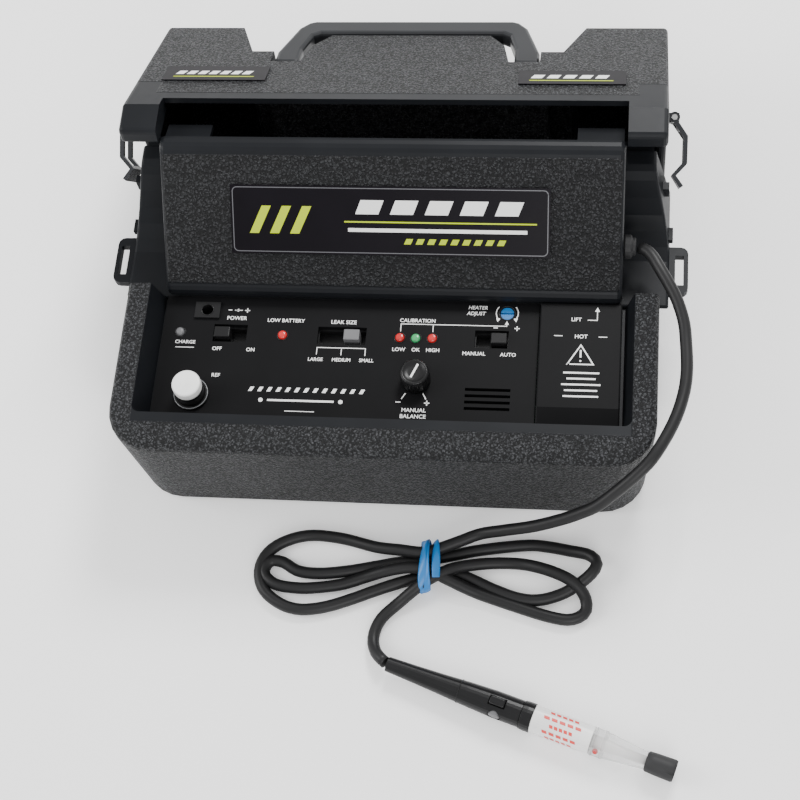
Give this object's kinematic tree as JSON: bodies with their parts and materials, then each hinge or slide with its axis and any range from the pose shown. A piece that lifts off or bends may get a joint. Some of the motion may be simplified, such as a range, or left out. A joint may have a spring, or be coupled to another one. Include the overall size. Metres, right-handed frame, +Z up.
{
  "type": "refrigerant leak detector",
  "caption": "Portable refrigerant leak detector: grained black carrying case with hinged lid, control panel, and a sniffer probe on a coiled cable.",
  "frame": {"origin": "on the table under the middle of the closed case", "axes": "+X to the user's right, +Y away from the user towards the lid, +Z up out of the control panel"},
  "size_m": [0.3204, 0.4176, 0.1292],
  "materials": {
    "grained_shell": "leather-grained black plastic",
    "smooth_shell": "smooth satin black plastic",
    "panel_plate": "black overlay with white print",
    "black_plastic": "black plastic",
    "grey_plastic": "grey plastic",
    "label": "glossy dark label with coloured fields",
    "white_plastic": "white plastic",
    "red_lens": "red lens",
    "green_lens": "green lens",
    "clear_lens": "clear plastic",
    "blue_plastic": "blue plastic",
    "steel": "bright steel",
    "board": "green circuit board",
    "rubber": "black rubber"
  },
  "bodies": {
    "case": {"base_tub": "grained_shell", "storage_bin": "smooth_shell", "front_cover": "grained_shell", "name_plate": "label", "lid_hinge_pin": "steel", "control_panel": "panel_plate", "power_switch_body": "black_plastic", "leak_size_switch_body": "black_plastic", "mode_switch_body": "black_plastic", "charge_led": "grey_plastic", "low_battery_led": "red_lens", "calibration_led_low": "red_lens", "calibration_led_ok": "green_lens", "calibration_led_high": "red_lens", "balance_potentiometer": "grey_plastic", "trimmer_body": "blue_plastic", "vial_collar": "black_plastic", "charger_jack": "black_plastic", "sensor_cell": "steel", "circuit_board": "board", "battery": "grey_plastic", "air_pump": "steel", "loudspeaker": "black_plastic", "cable_gland": "rubber", "probe_cable_lead": "rubber", "probe_cable_hank": "rubber", "probe_cable_tail": "rubber", "cable_tie": "blue_plastic", "probe_handle": "black_plastic", "probe_window": "grey_plastic", "probe_sleeve": "black_plastic", "probe_label_sleeve": "white_plastic", "probe_cone": "clear_lens", "probe_led": "red_lens", "probe_tip": "rubber"},
    "lid": {"lid_shell": "grained_shell", "lid_badge_left": "label", "lid_badge_right": "label", "handle_pin_left": "steel", "handle_pin_right": "steel", "latch_pin_left": "steel", "latch_pin_right": "steel"},
    "handle": {"carry_handle": "smooth_shell"},
    "left_latch": {"latch_left": "smooth_shell"},
    "right_latch": {"latch_right": "smooth_shell"},
    "power_switch_knob": {"power_slider": "black_plastic"},
    "leak_size_knob": {"leak_size_slider": "grey_plastic"},
    "mode_knob": {"mode_slider": "black_plastic"},
    "balance": {"balance_knob": "black_plastic"},
    "trimmer": {"heater_trimmer": "blue_plastic"},
    "vial": {"reference_vial": "black_plastic", "reference_vial_cap": "white_plastic"},
    "sensor_lid": {"sensor_cover": "panel_plate"},
    "probe_push_button": {"probe_button": "black_plastic"}
  },
  "joints": [
    {"name": "lid_hinge", "type": "hinge", "parent": "case", "child": "lid", "pos_m": [0, 0.052, 0.006], "axis": [1, 0, 0], "range_deg": [-40, 7.4]},
    {"name": "handle_pivot", "type": "hinge", "parent": "lid", "child": "handle", "pos_m": [0, 0.10991, 0.08753], "axis": [1, 0, 0], "range_deg": [-78, 0]},
    {"name": "latch_left_pivot", "type": "hinge", "parent": "lid", "child": "left_latch", "pos_m": [-0.1492, 0.07277, 0.09124], "axis": [0, -0.5, 0.866], "range_deg": [-95, 0]},
    {"name": "latch_right_pivot", "type": "hinge", "parent": "lid", "child": "right_latch", "pos_m": [0.1492, 0.07277, 0.09124], "axis": [0, -0.5, 0.866], "range_deg": [0, 95]},
    {"name": "power_slide", "type": "slide", "parent": "case", "child": "power_switch_knob", "axis": [1, 0, 0], "range_m": [0, 0.0084]},
    {"name": "leak_size_slide", "type": "slide", "parent": "case", "child": "leak_size_knob", "axis": [1, 0, 0], "range_m": [-0.0137, 0.0027]},
    {"name": "mode_slide", "type": "slide", "parent": "case", "child": "mode_knob", "axis": [1, 0, 0], "range_m": [-0.008, 0]},
    {"name": "balance_turn", "type": "hinge", "parent": "case", "child": "balance", "pos_m": [0.0169, -0.0735, 0.066], "axis": [0, 0, 1], "range_deg": [-150, 150]},
    {"name": "heater_trim_turn", "type": "hinge", "parent": "case", "child": "trimmer", "pos_m": [0.0632, -0.032, 0.058], "axis": [0, 0, 1], "range_deg": [-135, 135]},
    {"name": "vial_lift", "type": "slide", "parent": "case", "child": "vial", "axis": [0, 0, 1], "range_m": [0, 0.03]},
    {"name": "sensor_cover_lift", "type": "slide", "parent": "case", "child": "sensor_lid", "axis": [0, 0, 1], "range_m": [0, 0.02]},
    {"name": "probe_button_press", "type": "slide", "parent": "case", "child": "probe_push_button", "axis": [0, 0, -1], "range_m": [0, 0.001]}
  ]
}
